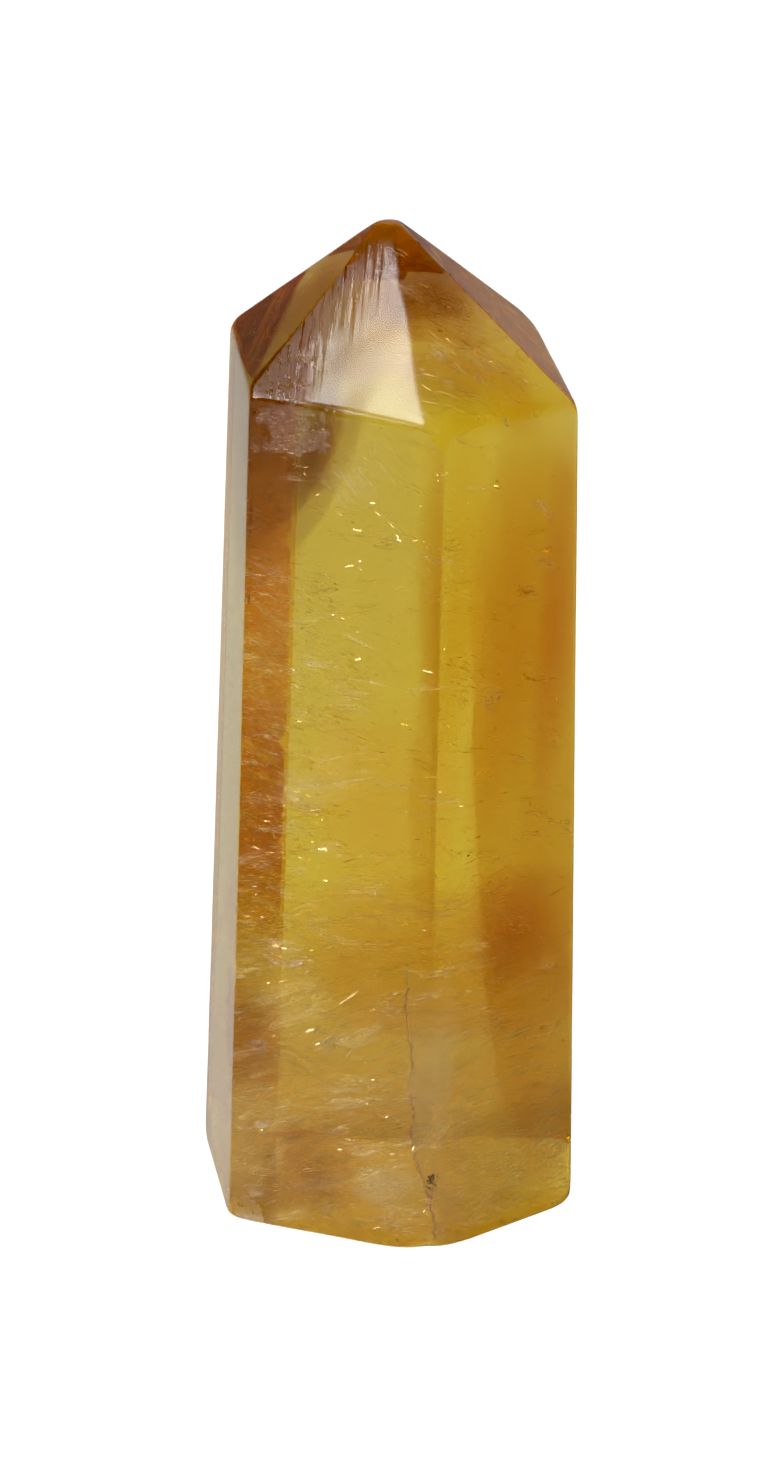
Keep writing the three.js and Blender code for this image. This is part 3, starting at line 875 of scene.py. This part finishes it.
# silk through the whole stone
g = np.random.default_rng(151)
c = np.empty((0, 3))
while len(c) < 900:
    q = np.column_stack([g.uniform(-14.5, 14.5, 4000), g.uniform(-15.6, 15.6, 4000), g.uniform(0.3, 79, 4000)])
    q = q[keep_inside(q, 0.5)]
    c = np.vstack([c, q[g.uniform(size=len(q)) < 0.9 * where_fibres(q)]])
c = c[:900]
n = len(c)
front = np.where(c[:, 1] < 0, -1.0, 1.0)
nrm = np.column_stack([g.normal(0, 0.45, n), front * 1.0, 0.55 + g.normal(0, 0.3, n)])
run = screen_direction(tilt_by_height(c) + g.normal(0, 7, n), g.normal(0, 12, n), g, n)
sheets("silk_films", c, nrm, run, g.uniform(0.9, 3.4, n), g.uniform(0.16, 0.75, n),
       silk_material("silk_film", (0.99, 0.92, 0.72), (0.97, 0.84, 0.58), 0.42, 0.5, 7.0), seed=152, cols=7, rows=4)

# the larger clouds that stand out: u, v, depth, half length, half width, run
CREAM = [
    (348, 1098, 1.4, 2.6, 1.9, 8), (385, 1182, 1.6, 3.4, 2.0, 8), (400, 1215, 1.8, 2.4, 1.2, 10), (372, 1150, 1.2, 2.2, 0.8, 14), (345, 1040, 0.9, 1.0, 0.7, 0),
    (366, 1035, 1.6, 2.2, 1.0, 24), (345, 770, 4.0, 3.4, 3.2, 5), (365, 470, 3.0, 3.0, 4.6, -55), (350, 700, 2.0, 2.6, 1.5, -5), (300, 790, 1.2, 2.6, 2.0, -14),
    (320, 660, 1.0, 2.0, 0.7, -2), (268, 1125, 0.8, 1.6, 1.2, 0), (300, 1000, 3.0, 3.4, 2.6, 15), (475, 355, 1.4, 2.6, 1.0, -29), (440, 350, 1.0, 1.4, 1.2, -26),
    (510, 375, 2.4, 3.0, 0.9, -30), (280, 945, 0.8, 2.6, 0.9, -2), (500, 1170, 3.0, 3.6, 2.6, 20), (545, 1145, 2.4, 2.0, 2.2, 40), (330, 1180, 2.4, 3.4, 1.0, 4),
    (480, 1215, 2.0, 2.8, 1.2, 12), (360, 890, 3.5, 3.0, 1.6, 0), (330, 850, 1.5, 1.8, 0.8, -6), (288, 1215, 1.2, 2.2, 0.7, 6), (255, 1190, 0.8, 1.0, 0.9, 0),
]
BROWN = [
    (254, 1008, 0.9, 1.7, 1.5, 0), (303, 1066, 1.6, 2.2, 1.2, -30), (330, 1160, 1.2, 2.4, 0.7, 4), (290, 1205, 1.4, 3.0, 0.9, 2), (268, 1060, 1.4, 2.4, 1.6, 0),
    (245, 1150, 1.0, 1.2, 1.6, 0), (270, 640, 2.5, 1.8, 3.4, 70), (262, 850, 2.0, 1.5, 3.6, 80), (430, 265, 1.2, 1.6, 0.9, -30), (445, 300, 2.0, 2.6, 1.0, -30),
    (300, 1135, 2.0, 2.2, 0.8, 4), (420, 905, 2.6, 4.4, 1.3, -3), (370, 920, 1.5, 3.4, 0.8, -8), (450, 345, 2.4, 2.0, 0.7, -26), (455, 385, 1.5, 1.9, 0.6, -20),
]
MAUVE = [(288, 962, 0.6, 2.6, 0.7, -3), (258, 1045, 0.7, 0.9, 0.7, 0), (545, 508, 1.0, 1.5, 0.6, -45), (546, 563, 1.0, 1.6, 0.7, -35), (436, 1130, 0.9, 0.7, 3.0, 90)]


def framed_sheets(name, items, material, seed, squint=0.35):
    it = np.array(items, float)
    q, bent, room = look(it[:, 0], it[:, 1], it[:, 2])
    gg = np.random.default_rng(seed)
    k = len(it)
    normal = -bent + squint * np.array([-0.2, 0.0, 1.0]) + gg.normal(0, 0.12, (k, 3))
    return sheets(name, q, normal, screen_direction(it[:, 5], np.zeros(k), gg, k), it[:, 3], it[:, 4], material, seed=seed + 1, cols=13, rows=9, ripple=0.02)


framed_sheets("cream_clouds", CREAM, silk_material("cream_cloud", (0.97, 0.88, 0.68), (0.96, 0.82, 0.56), 0.5, 0.3, 2.4, 0.30, 0.68), 161)
framed_sheets("brown_clouds", BROWN, silk_material("brown_cloud", (0.46, 0.24, 0.06), (0.56, 0.32, 0.10), 0.42, 0.35, 1.6, 0.34, 0.66), 163, squint=0.1)
framed_sheets("mauve_clouds", MAUVE, silk_material("mauve_cloud", (0.80, 0.60, 0.56), (0.72, 0.50, 0.44), 0.6, 0.8, 2.2, 0.36, 0.62), 165)


def toward_key(face):
    """The direction, inside the stone, of light from the side softbox that came in through a flat."""
    n = NORMALS[face]
    w = SIDE_DIR
    c = float(w @ n)
    return unit(w / IOR + (math.sqrt(1 - (1 - c * c) / IOR ** 2) - c / IOR) * n)


def flakes(name, centre, normal, along, length, width, material, seed=1):
    """Tiny curved platelets: cleavage films that flash when they catch the light."""
    g = np.random.default_rng(seed)
    n = len(centre)
    nn = normal / np.linalg.norm(normal, axis=1)[:, None]
    a = along - (along * nn).sum(1)[:, None] * nn
    a /= np.linalg.norm(a, axis=1)[:, None]
    b = np.cross(nn, a)
    rim = 7
    verts = np.empty((n, rim + 1, 3))
    verts[:, 0] = centre + nn * (0.06 * width)[:, None]
    for k in range(rim):
        t = 2 * math.pi * k / rim
        r = g.uniform(0.65, 1.15, n)
        verts[:, k + 1] = centre + a * (r * math.cos(t) * length / 2)[:, None] + b * (r * math.sin(t) * width / 2)[:, None]
    base = np.array([(0, 1 + k, 1 + (k + 1) % rim) for k in range(rim)])
    ok = keep_inside(verts.reshape(-1, 3), 0.1).reshape(n, -1).all(axis=1)
    verts = verts[ok]
    faces = (base[None] + (rim + 1) * np.arange(len(verts))[:, None, None]).reshape(-1, 3)
    return make(name, verts.reshape(-1, 3), faces, material)


def flake_material(name, colour, other, rough, least=0.03, most=0.32):
    m = Mat(name)
    m.link(m.ramp(m.noise(m.place(), 1.3, detail=1), 0.38, 0.68, least, most), m.b.inputs["Alpha"])
    m.link(m.mix(m.noise(m.place(), 1.7, detail=2), colour, other), m.b.inputs["Base Color"])
    m.link(m.ramp(m.noise(m.place(), 2.3, detail=2), 0.3, 0.7, rough * 0.7, rough * 1.3), m.b.inputs["Roughness"])
    m.set(Metallic=1.0)
    return m.m


glint = flake_material("cleavage_film", (1.0, 0.90, 0.64), (0.98, 0.78, 0.42), 0.22)
g = np.random.default_rng(201)
# scattered films in little swarms: frame place, spread, depth range, how many swarms, run of the film on the frame
AREAS = [
    (283, 690, 22, 24, 0.4, 3.0, 9, -18), (292, 745, 26, 26, 0.4, 3.5, 5, -18), (285, 805, 26, 18, 0.3, 3.0, 15, -16), (300, 835, 30, 26, 0.3, 3.0, 11, -12),
    (268, 840, 16, 26, 0.3, 2.0, 7, -12), (262, 890, 18, 22, 0.3, 2.0, 5, -8), (275, 955, 26, 18, 0.3, 2.0, 10, -4), (345, 620, 16, 18, 0.5, 3.0, 4, -4),
    (345, 690, 26, 30, 0.5, 4.0, 4, -10), (360, 530, 34, 40, 0.6, 5.0, 4, -30), (335, 1040, 40, 40, 0.4, 4.0, 7, 14), (350, 1100, 26, 22, 0.3, 3.0, 9, 10),
    (375, 1145, 24, 14, 0.3, 2.0, 8, 14), (300, 1150, 50, 40, 0.3, 4.0, 8, 8), (260, 1130, 16, 40, 0.3, 2.0, 6, 4), (445, 345, 18, 30, 0.3, 3.0, 14, -28),
    (480, 350, 30, 14, 0.5, 4.0, 5, -30), (530, 385, 16, 14, 0.3, 2.0, 3, -20), (470, 640, 50, 90, 1.0, 10.0, 4, -8), (500, 1150, 50, 50, 0.5, 5.0, 7, 20),
    (420, 1190, 16, 40, 0.3, 1.5, 7, 60), (300, 480, 24, 40, 0.4, 2.0, 3, -6), (440, 960, 16, 30, 0.4, 2.0, 4, 0),
]
cu, cv, cd, ca = [], [], [], []
for u0, v0, su, sv, d0, d1, n, ang in AREAS:
    for _ in range(n):
        k = int(g.integers(3, 11))
        uu, vv, dd = u0 + su * g.normal(), v0 + sv * g.normal(), g.uniform(d0, d1)
        cu.append(uu + 6.5 * g.normal(size=k))
        cv.append(vv - math.tan(math.radians(ang)) * (cu[-1] - uu) + 2.6 * g.normal(size=k))
        cd.append(dd + 0.3 * g.normal(size=k))
        ca.append(ang + g.normal(0, 12, k))
cu, cv, cd, ca = map(np.concatenate, (cu, cv, cd, ca))
p, bent, room = look(cu, cv, np.maximum(cd, 0.25))
half = toward_key(1)[None] - bent
half /= np.linalg.norm(half, axis=1)[:, None]
n = len(p)
normal = half + g.normal(0, 0.16, (n, 3))
run = screen_direction(ca, np.zeros(n), g, n)
flakes("cleavage_films", p, normal, run, 0.30 * g.lognormal(0, 0.5, n), 0.105 * g.lognormal(0, 0.3, n), glint, seed=202)

# more of them right through the stone, set at random
q = np.column_stack([g.uniform(-14.5, 14.5, 30000), g.uniform(-15.6, 15.6, 30000), g.uniform(0.3, 79, 30000)])
q = q[keep_inside(q, 0.5)]
q = q[g.uniform(size=len(q)) < 0.32 * where_fibres(q)][:1500]
n = len(q)
flakes("scattered_films", q, g.normal(size=(n, 3)), screen_direction(tilt_by_height(q), g.normal(0, 20, n), g, n),
       0.28 * g.lognormal(0, 0.5, n), 0.09 * g.lognormal(0, 0.3, n), glint, seed=204)

# the few that stand out one by one: u, v, depth, length, width, run; each is turned to catch the light almost squarely
BRIGHT = [
    (321.7, 849, 0.5, 0.95, 0.22, -4), (325, 880.5, 0.5, 0.5, 0.16, -8), (326, 851, 0.5, 0.3, 0.1, 10), (310, 1030.5, 0.4, 1.0, 0.2, 14),
    (317.7, 1044, 0.4, 0.5, 0.16, 20), (255, 886.5, 0.4, 0.55, 0.1, -6), (262, 917, 0.4, 0.45, 0.08, -6), (284, 948, 0.5, 0.7, 0.1, -3),
    (268.5, 983, 0.4, 0.25, 0.14, 0), (357, 659.5, 1.0, 0.6, 0.3, 20), (360, 561, 0.8, 0.25, 0.18, 0), (378, 514, 1.5, 0.9, 0.06, -38),
    (391, 525, 1.5, 0.7, 0.08, -40), (397, 536, 1.5, 0.5, 0.07, -52), (399, 540, 1.5, 0.5, 0.14, -20), (372, 503, 1.2, 0.5, 0.16, -10), (357, 530, 1.2, 0.9, 0.2, -15),
    (350, 566, 1.4, 0.9, 0.14, 10), (427, 671.5, 0.8, 1.0, 0.12, -14), (445, 580, 0.3, 0.09, 0.06, 0), (445, 602, 0.3, 0.12, 0.05, 90),
    (443.5, 613.5, 0.3, 0.09, 0.06, 0), (443, 630, 0.3, 0.10, 0.06, 0), (444.5, 649, 0.3, 0.25, 0.10, 10), (530, 754, 0.4, 0.08, 0.08, 0),
    (340, 1149.5, 0.4, 0.45, 0.1, -4), (373, 1080, 0.6, 0.25, 0.14, 0), (376.5, 1228, 0.3, 0.7, 0.12, 12), (253, 1173, 0.3, 0.4, 0.08, 80),
    (568, 1004, 0.2, 0.5, 0.07, 0), (260.5, 575, 0.4, 0.9, 0.07, -6), (317, 495, 0.5, 0.4, 0.12, 20), (421, 506, 0.8, 0.3, 0.06, 0),
    (496, 486, 0.6, 0.5, 0.1, -10), (468, 503, 0.6, 0.2, 0.12, 0), (565, 546, 0.3, 0.5, 0.08, 0), (531, 774, 0.4, 0.12, 0.1, 0),
    (439, 792, 0.6, 0.8, 0.08, -10), (462, 806, 0.6, 0.7, 0.08, -6), (424, 930, 0.4, 0.3, 0.12, 0), (441, 1152, 0.3, 1.1, 0.09, 88),
    (413, 1148, 0.3, 0.5, 0.12, 70), (392, 1154, 0.3, 0.4, 0.1, -10), (436, 1236, 0.3, 0.6, 0.18, 60), (424, 1211, 0.3, 0.3, 0.12, 60),
    (345, 1000, 0.8, 2.2, 0.06, 32), (352, 996, 0.8, 1.4, 0.05, 34), (515, 421.5, 0.15, 0.35, 0.25, 0), (565, 428, 0.2, 0.8, 0.12, 10),
    (563, 446, 0.2, 0.5, 0.12, -60),
    (245, 345, 0.15, 0.5, 0.1, 80), (240, 372, 0.15, 1.2, 0.08, 82), (285, 449, 0.2, 0.7, 0.04, -8), (291, 453, 0.2, 0.6, 0.035, -12),
]
B = np.array(BRIGHT)
p, bent, room = look(B[:, 0], B[:, 1], B[:, 2])
half = toward_key(1)[None] - bent
half /= np.linalg.norm(half, axis=1)[:, None]
n = len(p)
flakes("bright_films", p, half + g.normal(0, 0.03, (n, 3)), screen_direction(B[:, 5], np.zeros(n), g, n), B[:, 3], B[:, 4],
       flake_material("bright_film", (1.0, 0.92, 0.70), (1.0, 0.82, 0.46), 0.2, 0.18, 0.50), seed=203)


STREAKS = [
    (456, 334, 501, 361, 0.30, 0.085), (449, 340, 476, 353, 0.45, 0.05), (461, 344, 497, 363, 0.6, 0.06), (432, 328, 452, 336, 0.35, 0.07), (470, 341, 507, 361, 0.8, 0.05),
    (420, 356, 438, 366, 0.3, 0.07), (424, 349, 440, 357, 0.5, 0.05), (458, 366, 468, 369, 0.3, 0.07), (429, 380, 441, 384, 0.35, 0.06), (437, 318, 446, 322, 0.4, 0.06),
    (428, 332, 444, 341, 0.8, 0.045), (440, 345, 455, 354, 0.9, 0.05), (443, 326, 470, 340, 0.9, 0.04), (434, 341, 447, 349, 0.6, 0.05), (446, 361, 466, 371, 0.5, 0.045),
    (421, 369, 436, 378, 0.5, 0.045), (424, 372, 437, 376, 0.8, 0.045), (452, 318, 480, 333, 1.2, 0.04), (478, 338, 500, 350, 1.1, 0.045), (486, 357, 505, 367, 0.9, 0.05),
    (414, 276, 436, 284, 0.5, 0.035), (418, 283, 430, 288, 0.7, 0.03), (497, 392, 525, 396, 0.7, 0.04), (500, 365, 520, 375, 1.2, 0.04), (523, 379, 529, 383, 0.4, 0.08),
    (533, 383, 541, 386, 0.4, 0.06), (420, 400, 436, 404, 0.5, 0.04), (436, 391, 462, 398, 0.9, 0.04), (421, 384, 431, 391, 0.4, 0.05), (410, 262, 421, 267, 0.4, 0.04),
    (482, 304.5, 499, 322, 0.25, 0.06), (499, 322, 519, 341, 0.3, 0.045), (566, 428, 572, 427, 0.2, 0.10), (559, 435, 566, 440, 0.2, 0.07), (562, 447, 566, 449, 0.2, 0.09),
]
T = np.array(STREAKS)
p, bent, room = look((T[:, 0] + T[:, 2]) / 2, (T[:, 1] + T[:, 3]) / 2, T[:, 4])
px = 1 / 12.6
size = np.hypot(T[:, 2] - T[:, 0], T[:, 3] - T[:, 1]) * px * 1.15
run = screen_direction(np.degrees(np.arctan2(-(T[:, 3] - T[:, 1]), T[:, 2] - T[:, 0])), np.zeros(len(T)), g, len(T))
half = toward_key(7)[None] - bent
half /= np.linalg.norm(half, axis=1)[:, None]
flakes("golden_streaks", p, half + g.normal(0, 0.05, (len(T), 3)), run, size, 2.1 * T[:, 5], fibre_material("golden_streak", (1.0, 0.80, 0.30), (0.95, 0.66, 0.18), rough=0.5), seed=206)


def veil(name, rows, cols, point, material):
    """A thin wavy sheet through the points point(s, t), s and t running 0 to 1."""
    s, t = np.meshgrid(np.linspace(0, 1, cols), np.linspace(0, 1, rows))
    p = point(s.ravel(), t.ravel())
    over = (p @ NORMALS.T - REACH).max(axis=1)
    k = NORMALS[(p @ NORMALS.T - REACH).argmax(axis=1)]
    p = p - k * np.maximum(over + 0.12, 0)[:, None]
    i = np.arange(rows * cols).reshape(rows, cols)
    faces = np.stack([i[:-1, :-1], i[:-1, 1:], i[1:, 1:], i[1:, :-1]], axis=-1).reshape(-1, 4)
    obj = make(name, p, faces, material)
    attribute(obj.data, "s", s.ravel())
    attribute(obj.data, "t", t.ravel())
    return obj


def veil_material(name, colour, other, most, scale, stretch=(1, 1, 1), lo=0.4, hi=0.65, fade=None, rough=0.5):
    """Cloudy, streaked film: pale where it is thick and clear where it thins out; it fades towards its rim."""
    m = Mat(name)
    v = m.place(scale=stretch)
    m.link(m.mix(m.noise(v, scale * 0.6, detail=3), colour, other), m.b.inputs["Base Color"])
    cloud = m.ramp(m.noise(v, scale, detail=5, rough=0.65), lo, hi)
    for name_, a, b in (fade or (("s", 0.0, 0.25), ("s", 1.0, 0.7), ("t", 0.0, 0.2), ("t", 1.0, 0.8))):
        att = m.node("ShaderNodeAttribute", attribute_name=name_)
        cloud = m.math("MULTIPLY", cloud, m.ramp(att.outputs["Fac"], min(a, b), max(a, b), 0.0 if a < b else 1.0, 1.0 if a < b else 0.0))
    m.link(m.math("MULTIPLY", cloud, most), m.b.inputs["Alpha"])
    m.set(Roughness=rough)
    return m.m


def curve(points, t):
    pts = np.asarray(points, float)
    x = np.linspace(0, 1, len(pts))
    return np.column_stack([np.interp(t, x, pts[:, k]) for k in range(pts.shape[1])])


# the healed crack near the foot: its ragged left edge comes nearly to the surface, and it runs back to the right
CRACK = [(405, 955), (407, 985), (404, 1010), (410, 1040), (412, 1060), (407, 1088), (413, 1110), (411, 1132), (415, 1160), (421, 1176), (427, 1196), (434, 1216), (437, 1240)]


def crack(s, t):
    e = curve(CRACK, t)
    jag = 2.0 * noise(np.column_stack([t * 60, t * 0, t * 0]), 301, 1.0) + 1.4 * noise(np.column_stack([t * 150, t * 0, t * 0]), 302, 1.0)
    near, _, _ = look(e[:, 0] + jag, e[:, 1], np.full(len(t), 0.35))
    far, _, _ = look(e[:, 0] * 0 + 492 + 14 * np.sin(t * 5), e[:, 1] + 6, 3.0 + 2.5 * t)
    p = near + (far - near) * s[:, None]
    return p + 0.25 * noise(p, 303, 1.6)[:, None] * unit([0.5, -0.85, 0.1]) * s[:, None]


veil("healed_crack", 160, 40, crack, veil_material(
    "healed_crack", (1.0, 0.78, 0.70), (0.95, 0.66, 0.52), 0.26, 0.55, (1, 1, 0.6), 0.25, 0.6,
    fade=(("s", 1.0, 0.2), ("t", 0.0, 0.4))))


def crack_lip(s, t):
    e = curve(CRACK, t)
    jag = 2.0 * noise(np.column_stack([t * 60, t * 0, t * 0]), 301, 1.0) + 1.4 * noise(np.column_stack([t * 150, t * 0, t * 0]), 302, 1.0)
    wide = 2.4 + 1.6 * noise(np.column_stack([t * 40, t * 0, t * 0]), 304, 1.0)
    near, _, _ = look(e[:, 0] + jag + (s - 0.5) * wide, e[:, 1], 0.3 + 0.8 * s)
    return near


veil("crack_lip", 300, 4, crack_lip, veil_material(
    "crack_lip", (0.66, 0.34, 0.26), (0.92, 0.66, 0.58), 0.70, 1.6, (1, 1, 1), 0.3, 0.6, fade=(("t", 0.0, 0.1),)))

# a little cluster of dark specks on the crack
k = 26
p, bent, room = look(432 + 3.2 * g.normal(size=k), 1181 + 3.6 * g.normal(size=k), g.uniform(0.3, 0.9, k))
m = Mat("dark_speck")
m.link(m.mix(m.noise(m.place(), 3.0, detail=1), (0.10, 0.05, 0.02), (0.22, 0.12, 0.05)), m.b.inputs["Base Color"])
m.set(Roughness=0.7)
flakes("dark_specks", p, -bent + g.normal(0, 0.3, (k, 3)), screen_direction(g.uniform(0, 180, k), np.zeros(k), g, k), 0.22 * g.lognormal(0, 0.4, k), 0.13 * g.lognormal(0, 0.3, k), m.m, seed=207)

# ---------------------------------------------------------------- floor, light
floor_mesh = bpy.data.meshes.new("floor")
floor_mesh.from_pydata([(-20, -20, -0.00005), (20, -20, -0.00005), (20, 20, -0.00005), (-20, 20, -0.00005)], [], [(0, 1, 2, 3)])
floor = bpy.data.objects.new("floor", floor_mesh)
scene.collection.objects.link(floor)
m = bpy.data.materials.new("floor")
m.use_nodes = True
nt = m.node_tree
nt.nodes.clear()
out = nt.nodes.new("ShaderNodeOutputMaterial")
diff = nt.nodes.new("ShaderNodeBsdfDiffuse")
diff.inputs["Color"].default_value = (0.588, 0.592, 0.60, 1)
white = nt.nodes.new("ShaderNodeEmission")
white.inputs["Color"].default_value = (1.0, 1.0, 1.0, 1)
white.inputs["Strength"].default_value = 1.15
path = nt.nodes.new("ShaderNodeLightPath")
mixer = nt.nodes.new("ShaderNodeMixShader")
nt.links.new(path.outputs["Is Camera Ray"], mixer.inputs[0])
nt.links.new(diff.outputs[0], mixer.inputs[1])
nt.links.new(white.outputs[0], mixer.inputs[2])
nt.links.new(mixer.outputs[0], out.inputs["Surface"])
m.cycles.emission_sampling = "NONE"
floor_mesh.materials.append(m)

world = bpy.data.worlds.new("studio")
scene.world = world
world.use_nodes = True
wt = world.node_tree
bg = wt.nodes["Background"]
wpath = wt.nodes.new("ShaderNodeLightPath")
wmix = wt.nodes.new("ShaderNodeMix")
wmix.data_type = "RGBA"
# a pale sweep stands behind the stone, and the rest of the room is dim
wdir = wt.nodes.new("ShaderNodeTexCoord")
wdot = wt.nodes.new("ShaderNodeVectorMath")
wdot.operation = "DOT_PRODUCT"
wdot.inputs[1].default_value = tuple(unit([0.2, 1.0, 0.45]))
wt.links.new(wdir.outputs["Generated"], wdot.inputs[0])
wramp = wt.nodes.new("ShaderNodeMapRange")
wramp.interpolation_type = "SMOOTHSTEP"
wramp.inputs["From Min"].default_value, wramp.inputs["From Max"].default_value = 0.60, 0.90
wt.links.new(wdot.outputs["Value"], wramp.inputs["Value"])
wroom = wt.nodes.new("ShaderNodeMix")
wroom.data_type = "RGBA"
wroom.inputs[6].default_value = (0.20, 0.19, 0.18, 1)
wroom.inputs[7].default_value = (0.78, 0.74, 0.70, 1)
wt.links.new(wramp.outputs["Result"], wroom.inputs[0])
wt.links.new(wroom.outputs[2], wmix.inputs[6])
wmix.inputs[7].default_value = (1.3, 1.3, 1.3, 1)
wt.links.new(wpath.outputs["Is Camera Ray"], wmix.inputs[0])
wt.links.new(wmix.outputs[2], bg.inputs["Color"])
bg.inputs["Strength"].default_value = 1.0

def softbox(name, spot, facing, size, radiance, left):
    lamp = bpy.data.lights.new(name, "AREA")
    lamp.shape = "RECTANGLE"
    lamp.size = lamp.size_y = size
    lamp.energy = radiance * math.pi * size * size
    lamp.color = (1.0, 0.985, 0.965)
    obj = bpy.data.objects.new(name, lamp)
    scene.collection.objects.link(obj)
    z = Vector(unit(spot - facing))
    x = Vector(left) - z * z.dot(Vector(left))
    x.normalize()
    y = z.cross(x)
    obj.matrix_world = Matrix([[x[i], y[i], z[i], spot[i] * MM] for i in range(3)] + [[0, 0, 0, 1]])
    return lamp


# the small softbox sits where the front tip facet mirrors it; its left edge is just where the rolled arris begins
front_lamp = softbox("front_softbox", KEY_SPOT, FACET_MID, KEY_SIZE, KEY_RADIANCE, KEY_LEFT)
front_lamp.cycles.max_bounces = 0
front_lamp.color = (0.95, 1.0, 0.99)
softbox("side_softbox", np.array([0, 0, 40.0]) + SIDE_DIR * SIDE_DIST, np.array([0, 0, 40.0]), SIDE_SIZE, SIDE_RADIANCE, KEY_LEFT)

scene.view_settings.view_transform = "Standard"
scene.view_settings.use_curve_mapping = True
scene.view_settings.curve_mapping.black_level = (0.007, 0.011, 0.020)
scene.view_settings.curve_mapping.update()
scene.cycles.use_denoising = True
scene.cycles.max_bounces = 48
scene.cycles.diffuse_bounces = 5
scene.cycles.transmission_bounces = 44
scene.cycles.transparent_max_bounces = 32
scene.cycles.glossy_bounces = 12
scene.cycles.volume_bounces = 5
scene.cycles.sample_clamp_indirect = 6.0
world.cycles.sampling_method = "NONE"

print("crystal triangles", len(crystal.data.polygons))
bpy.context.view_layer.update()
